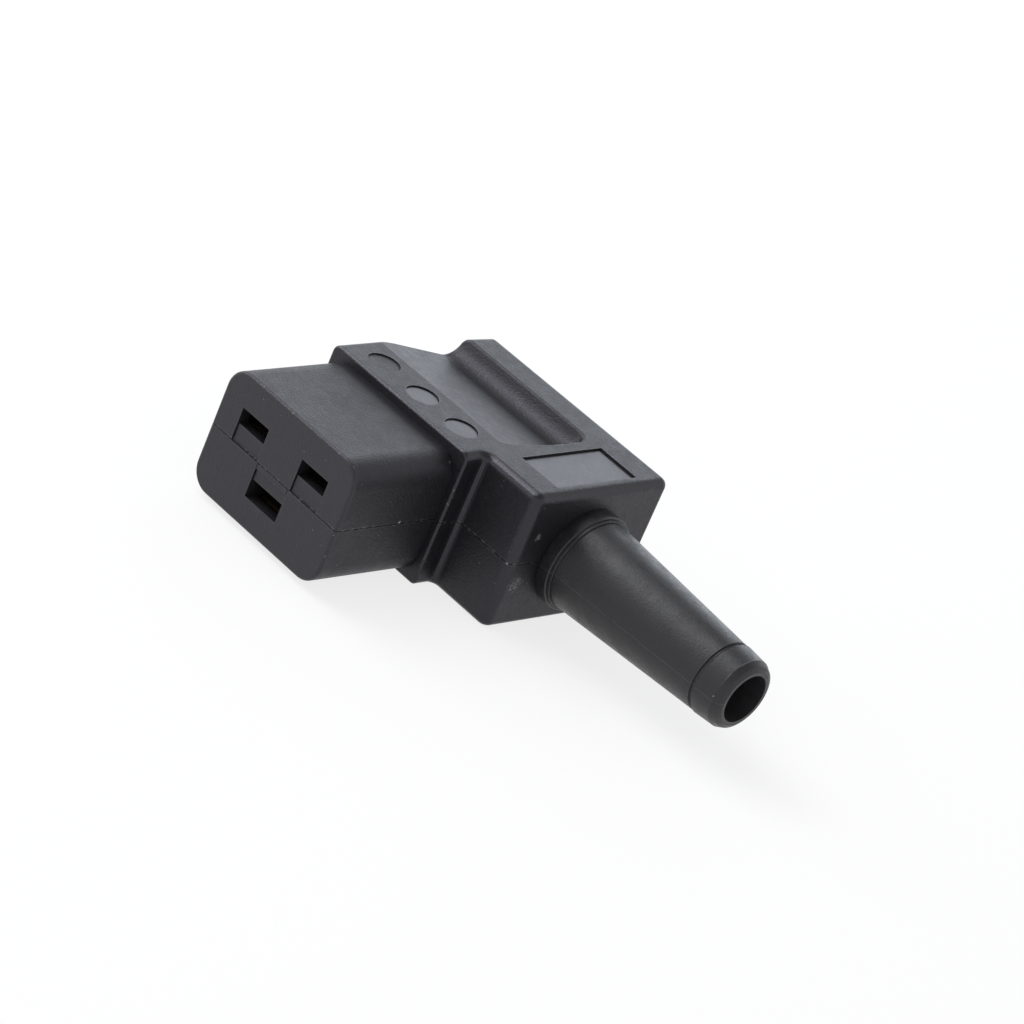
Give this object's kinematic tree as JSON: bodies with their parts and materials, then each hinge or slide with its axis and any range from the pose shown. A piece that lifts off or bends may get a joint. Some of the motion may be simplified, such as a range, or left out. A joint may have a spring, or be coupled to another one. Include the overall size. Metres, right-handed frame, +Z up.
{
  "type": "angled c19 power connector",
  "caption": "Right-angled power connector: square plug face with three blade slots, stepped housing seam, finger scoop and a tapered bend relief sleeve.",
  "frame": {"origin": "on the mating face, half way between the two contact rows, at the height where the shells part", "axes": "+X along the cord exit, +Y from the mating face back into the connector, +Z up, away from the resting face"},
  "size_m": [0.0752, 0.0513, 0.0219],
  "materials": {
    "shell": "fine moulded grain, near black",
    "sleeve": "smooth moulded rubber, soft sheen",
    "contact": "folded spring strip, rolled surface",
    "terminal": "machined, dull nickel free",
    "screw": "zinc plated",
    "plate": "stamped",
    "clamp": "moulded"
  },
  "bodies": {
    "root": {"upper_shell": "shell", "lower_shell": "shell", "bend_relief_sleeve": "sleeve", "line_contact": "contact", "line_terminal": "terminal", "line_terminal_screw": "screw", "line_pressure_plate": "plate", "neutral_contact": "contact", "neutral_terminal": "terminal", "neutral_terminal_screw": "screw", "neutral_pressure_plate": "plate", "earth_contact": "contact", "earth_terminal": "terminal", "earth_terminal_screw": "screw", "earth_pressure_plate": "plate", "cord_clamp_bar": "clamp", "cord_clamp_screw_front": "screw", "cord_clamp_screw_rear": "screw", "housing_screw_grip": "screw", "housing_screw_arm": "screw", "housing_screw_back": "screw"}
  },
  "joints": []
}
